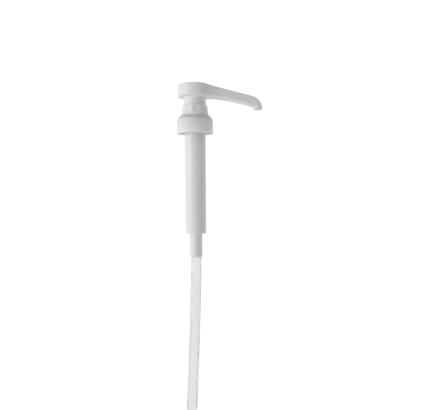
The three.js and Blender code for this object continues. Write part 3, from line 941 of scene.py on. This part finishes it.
dip_mesh = bmesh.new()
tube_top = Matrix.Translation((0, 0, dip_high.z))
for radius in (dip_radius, dip_bore):
    bmesh.ops.create_circle(dip_mesh, cap_ends=False, radius=radius, segments=96, matrix=tube_top)
bmesh.ops.bridge_loops(dip_mesh, edges=dip_mesh.edges[:])
bmesh.ops.recalc_face_normals(dip_mesh, faces=dip_mesh.faces)
end_wall = dip_mesh.faces[:]
grown = bmesh.ops.extrude_face_region(dip_mesh, geom=end_wall)["geom"]
moved = [part for part in grown if isinstance(part, bmesh.types.BMVert)]
bmesh.ops.translate(dip_mesh, vec=(0, 0, -dip_socket_length), verts=moved)
end_part = grown
end_middle = Vector((0, 0, dip_high.z - dip_socket_length))
lean = 0.0
for stretch, bend_radius, steps in dip_stretches:
    turn = stretch / bend_radius
    centre = end_middle + bend_radius * Vector((-math.cos(lean), 0, math.sin(lean)))
    bent = bmesh.ops.spin(
        dip_mesh, geom=end_part, cent=centre, axis=(0, 1, 0), dvec=(0, 0, 0), angle=turn, steps=steps,
    )
    end_part = bent["geom_last"]
    lean += turn
    end_middle = centre + bend_radius * Vector((math.cos(lean), 0, -math.sin(lean)))
# A little more, straight on, so that the slanting cut goes through whole walls
grown = bmesh.ops.extrude_face_region(dip_mesh, geom=end_part)["geom"]
moved = [part for part in grown if isinstance(part, bmesh.types.BMVert)]
bmesh.ops.translate(dip_mesh, vec=overrun * Vector((-math.sin(lean), 0, -math.cos(lean))), verts=moved)
tip_rise = Vector((0, 0, dip_radius * math.tan(tip_slant)))
bmesh.ops.bisect_plane(
    dip_mesh, geom=dip_mesh.verts[:] + dip_mesh.edges[:] + dip_mesh.faces[:], dist=0.0001,
    plane_co=end_middle + tip_rise, plane_no=(math.sin(tip_slant), 0, -math.cos(tip_slant)),
    clear_outer=True,
)
open_edges = [edge for edge in dip_mesh.edges if edge.is_boundary]
bmesh.ops.bridge_loops(dip_mesh, edges=open_edges)
bmesh.ops.recalc_face_normals(dip_mesh, faces=dip_mesh.faces)
cut_rims = [edge for edge in dip_mesh.edges if edge.calc_face_angle(0) > math.radians(50)]
bmesh.ops.bevel(
    dip_mesh, geom=cut_rims, offset=0.18, offset_type="OFFSET", segments=2, profile=0.5,
    affect="EDGES", clamp_overlap=True, material=-1,
)
dip_tube = as_object("milky_dip_tube", dip_mesh)
# Drawn off a die, which leaves faint streaks along it, and clear enough that the white behind shows through
extruded_polyethylene = milky_polyethylene("extruded_milky_polyethylene", 0.04, 0.9, 1.0)
place(dip_tube, extruded_polyethylene, "pump_body", ["dip_tube"], "milky_polyethylene")


# ---------- Actuator head ----------
# Thumb pad, spout, nozzle, skirt and stem socket in one white polypropylene moulding. The spout tapers and
# droops to a turned-down nozzle. The lock thread is outside the skirt, and the stem is pressed into the
# socket.

head_low, head_high = corners("actuator_head")
pad_radius = -head_low.x
pad_top = head_high.z
pad_bottom = 27.3
nozzle_radius = 5.35
nozzle_reach = head_high.x - nozzle_radius
arm_end = 66.0
under_start = 14.0
under_bend = 32.0
under_drop = 10.3
rounding_start = 30.0
station_crowding = 1.3
root_angle = math.radians(48.0)
root_run = 8.0
top_slope = 13.8 / 61.2
top_bend = 10.2
top_softness = 3.0
# Makes up for part of what the soft bend takes off the pad's height
top_lift = 0.09
top_round = 1.7
pad_bottom_round = 1.7
arm_bottom_round = 2.2
crown = 0.6
arc_steps = 96
side_steps = 40


def on_curve(curve, share):
    """A point on a quadratic curve through its first and last point."""
    return curve[0].lerp(curve[1], share).lerp(curve[1].lerp(curve[2], share), share)


# The arm's hollow side, seen from above, from where it leaves the pad to the nozzle
pad_root = Vector((pad_radius * math.cos(root_angle), pad_radius * math.sin(root_angle)))
side_middle = pad_root + root_run * Vector((math.sin(root_angle), -math.cos(root_angle)))
side_curve = [pad_root, side_middle, Vector((nozzle_reach, nozzle_radius))]
# The underside, seen from the side, from the pad's level to the arm's end
under_curve = [
    Vector((under_start, pad_bottom)), Vector((under_bend, pad_bottom)),
    Vector((arm_end, pad_bottom - under_drop)),
]


def at_x(curve, x):
    """The second value of a quadratic curve where its first one is x."""
    start, middle, end = curve
    bow = start.x - 2 * middle.x + end.x
    rise = middle.x - start.x
    share = (math.sqrt(rise * rise + bow * (x - start.x)) - rise) / bow
    return on_curve(curve, share).y


def top_height(x):
    """Height of the pad's and arm's top: level, then turning softly into the arm's slope."""
    past = x - top_bend
    fall = top_slope * (past + math.hypot(past, top_softness)) / 2
    return pad_top - crown - fall + top_slope * top_lift


def bottom_height(x):
    """Height of the underside: level under the pad, then curving down along the arm."""
    return at_x(under_curve, x) if x > under_start else pad_bottom


def bottom_round(x):
    """How far the lower edge is rounded: more along the arm, where the flow channel runs in it."""
    share = min(1.0, max(0.0, (x - rounding_start) / (arm_end - rounding_start)))
    return pad_bottom_round + (arm_bottom_round - pad_bottom_round) * share


# Every corner of the plan carries its number along the outline, and so does each copy of it
head_mesh = bmesh.new()
number = head_mesh.verts.layers.int.new("along_outline")
corner_count = 2 * side_steps + arc_steps + 1
chain = []
for index in range(corner_count):
    point = head_mesh.verts.new((index, 0, 0))
    point[number] = index
    chain.append(point)
rim = [head_mesh.edges.new(pair) for pair in zip(chain, chain[1:])]


def outline_point(index, inset, share):
    """Plan position of a corner, on the outline moved in by inset and then shrunk to a share."""
    pad = (pad_radius - inset) * share
    if side_steps <= index <= side_steps + arc_steps:
        turn = root_angle + (index - side_steps) / arc_steps * 2 * (math.pi - root_angle)
        return Vector((pad * math.cos(turn), pad * math.sin(turn)))
    side = 1 if index < side_steps else -1
    steps_out = side_steps - index if side > 0 else index - side_steps - arc_steps
    from_pad = steps_out / side_steps
    # Stations crowd towards the pad, where the side curves most
    x = pad_root.x + (arm_end - pad_root.x) * from_pad ** station_crowding
    step = 0.01
    slope = (at_x(side_curve, x + step) - at_x(side_curve, x)) / step
    normal = Vector((-slope, 1)).normalized()
    moved = Vector((x, at_x(side_curve, x))) - inset * normal
    # The innermost rings end on the axis between the pad's middle and the arm's end
    along = arm_end
    if from_pad < 1:
        along = min(moved.x - (1 - share) * (1 - from_pad) * pad_root.x, arm_end)
    return Vector((along, side * moved.y * share))


def lay_ring(points, inset_at, share, height_at):
    """Moves a ring of corners to its place. Inset and height are worked out from where each corner is."""
    for point in points:
        rim_x = outline_point(point[number], 0.0, 1.0).x
        plan = outline_point(point[number], inset_at(rim_x), share)
        point.co = (plan.x, plan.y, height_at(plan.x))


def grow_ring(edges, inset_at, share, height_at):
    """Extrudes a ring of edges and moves the copy to its place."""
    grown = bmesh.ops.extrude_edge_only(head_mesh, edges=edges)["geom"]
    lay_ring([part for part in grown if isinstance(part, bmesh.types.BMVert)], inset_at, share, height_at)
    return [part for part in grown if isinstance(part, bmesh.types.BMEdge)]


def side_height(x, level):
    """Height on the side wall, from the lower rounding at level 0 to the upper one at level 1."""
    lower = bottom_height(x) + bottom_round(x)
    return lower + level * (top_height(x) - top_round - lower)


lay_ring(chain, lambda x: 0.0, 1.0, lambda x: side_height(x, 0.0))
ring = rim
for level in (0.25, 0.5, 0.75, 1.0):
    ring = grow_ring(ring, lambda x: 0.0, 1.0, lambda x: side_height(x, level))
for step in range(1, 7):
    swing = math.pi / 2 * step / 6
    inset = top_round * (1 - math.cos(swing))
    drop = top_round * (1 - math.sin(swing))
    ring = grow_ring(ring, lambda x: inset, 1.0, lambda x: top_height(x) - drop)
for share in (0.94, 0.84, 0.7, 0.52, 0.34, 0.16, 0.0):
    ring = grow_ring(ring, lambda x: top_round, share, lambda x: top_height(x) + crown * (1 - share * share))
ring = rim
for step in range(1, 8):
    swing = math.pi / 2 * step / 7
    tuck = 1 - math.cos(swing)
    lift = 1 - math.sin(swing)
    ring = grow_ring(
        ring, lambda x: tuck * bottom_round(x), 1.0, lambda x: bottom_height(x) + lift * bottom_round(x),
    )
for share in (0.9, 0.7, 0.4, 0.0):
    ring = grow_ring(ring, bottom_round, share, bottom_height)
bmesh.ops.remove_doubles(head_mesh, verts=head_mesh.verts, dist=0.001)

# The spout's end: its open rim is carried round the elbow and turns from a rounded square into a circle.
# The elbow's outer and inner curve are seen from the side.
arm_top = top_height(arm_end) + crown
arm_bottom = bottom_height(arm_end)
arm_half_width = at_x(side_curve, arm_end)
nozzle_start = 15.6
nozzle_drop = 13.8
nozzle_end = pad_bottom - nozzle_drop
outer_curve = [Vector((arm_end, arm_top)), Vector((76.0, 26.2)), Vector((head_high.x, nozzle_start))]
inner_curve = [Vector((arm_end, arm_bottom)), Vector((67.0, 16.6)), Vector((67.0, nozzle_start))]
across = head_mesh.verts.layers.float_vector.new("across_spout")
mouth = [edge for edge in head_mesh.edges if edge.is_boundary]
for point in {point for edge in mouth for point in edge.verts}:
    level = (2 * point.co.z - arm_top - arm_bottom) / (arm_top - arm_bottom)
    point[across] = Vector((point.co.y / arm_half_width, level, 0))


def grow_mouth(edges, shape):
    """Extrudes the open rim and moves each corner to shape's point for its place across the spout."""
    grown = bmesh.ops.extrude_edge_only(head_mesh, edges=edges)["geom"]
    for part in grown:
        if isinstance(part, bmesh.types.BMVert):
            part.co = shape(part[across].x, part[across].y)
    return [part for part in grown if isinstance(part, bmesh.types.BMEdge)]


elbow_steps = 14
for step in range(1, elbow_steps + 1):
    share = step / elbow_steps
    outer = on_curve(outer_curve, share)
    inner = on_curve(inner_curve, share)
    half_width = arm_half_width + (nozzle_radius - arm_half_width) * share
    roundness = share * share * (3 - 2 * share)

    def elbow_shape(side, level):
        turn = math.atan2(level, side)
        flat_side = side * half_width
        round_side = math.cos(turn) * half_width
        rise = level + (math.sin(turn) - level) * roundness
        middle = (outer + inner) / 2 + (outer - inner) / 2 * rise
        return Vector((middle.x, flat_side + (round_side - flat_side) * roundness, middle.y))

    mouth = grow_mouth(mouth, elbow_shape)

lip = 1.0
nozzle_bore = 3.2
bore_top = 21.2
nozzle_rings = [(nozzle_radius, nozzle_end + lip + 0.5), (nozzle_radius, nozzle_end + lip)]
nozzle_rings += [
    (nozzle_radius - lip + lip * math.cos(turn), nozzle_end + lip - lip * math.sin(turn))
    for turn in (math.pi / 8, math.pi / 4, 3 * math.pi / 8, math.pi / 2)
]
nozzle_rings += [(nozzle_bore + 0.35, nozzle_end), (nozzle_bore + 0.1, nozzle_end + 0.1)]
nozzle_rings += [(nozzle_bore, nozzle_end + 0.35), (nozzle_bore, bore_top)]
for radius, height in nozzle_rings:
    def nozzle_shape(side, level):
        turn = math.atan2(level, side)
        return Vector((nozzle_reach + radius * math.sin(turn), radius * math.cos(turn), height))

    mouth = grow_mouth(mouth, nozzle_shape)
bmesh.ops.contextual_create(head_mesh, geom=mouth)
bmesh.ops.recalc_face_normals(head_mesh, faces=head_mesh.faces)
head = as_object("spout_head", head_mesh)

# The skirt with its lock thread, and the socket for the stem, with a hollow between them
skirt_radius = 12.7
skirt_bore = skirt_radius - 1.8
thread_root = skirt_radius - lock_height
thread_top = collar_high.z - 0.5
socket_radius = 8.05
stem_hole = 5.65
socket_top = 33.8
hollow_top = 29.9
riser = 2.2
core_top = 35.2
cut_radius = 12.0
cut_bottom = 23.9
cut_top = 33.9

core_cut = bmesh.new()
bmesh.ops.create_cone(
    core_cut, cap_ends=True, segments=128, radius1=cut_radius, radius2=cut_radius,
    depth=cut_top - cut_bottom, matrix=Matrix.Translation((0, 0, (cut_bottom + cut_top) / 2)),
)
combine(head, as_object("core_cut", core_cut), "DIFFERENCE")
core_mesh = turned([
    (riser, core_top, 0),
    (skirt_radius + 1.0, core_top, 0),
    (skirt_radius + 1.0, pad_bottom + 0.2, 0.3),
    (skirt_radius, pad_bottom - 0.8, 0.7),
    (skirt_radius, collar_high.z, 0.1),
    (thread_root, thread_top, 0.1),
    (thread_root, head_low.z, 0.4),
    (skirt_bore, head_low.z, 0.3),
    (skirt_bore, hollow_top, 0.8),
    (socket_radius, hollow_top, 0.8),
    (socket_radius, head_low.z, 0.4),
    (stem_hole, head_low.z, 0.4),
    (stem_hole, socket_top, 0.2),
    (riser, socket_top, 0.2),
], 192)
combine(head, as_object("core", core_mesh), "UNION")
skirt_thread = thread(
    thread_root, lock_height, lock_width, lock_pitch, lock_turns, head_low.z + lock_width / 2, 96,
)
combine(head, as_object("skirt_thread", skirt_thread), "UNION")
place(head, grip_polypropylene, "plunger", ["actuator_head"], "white_polypropylene")
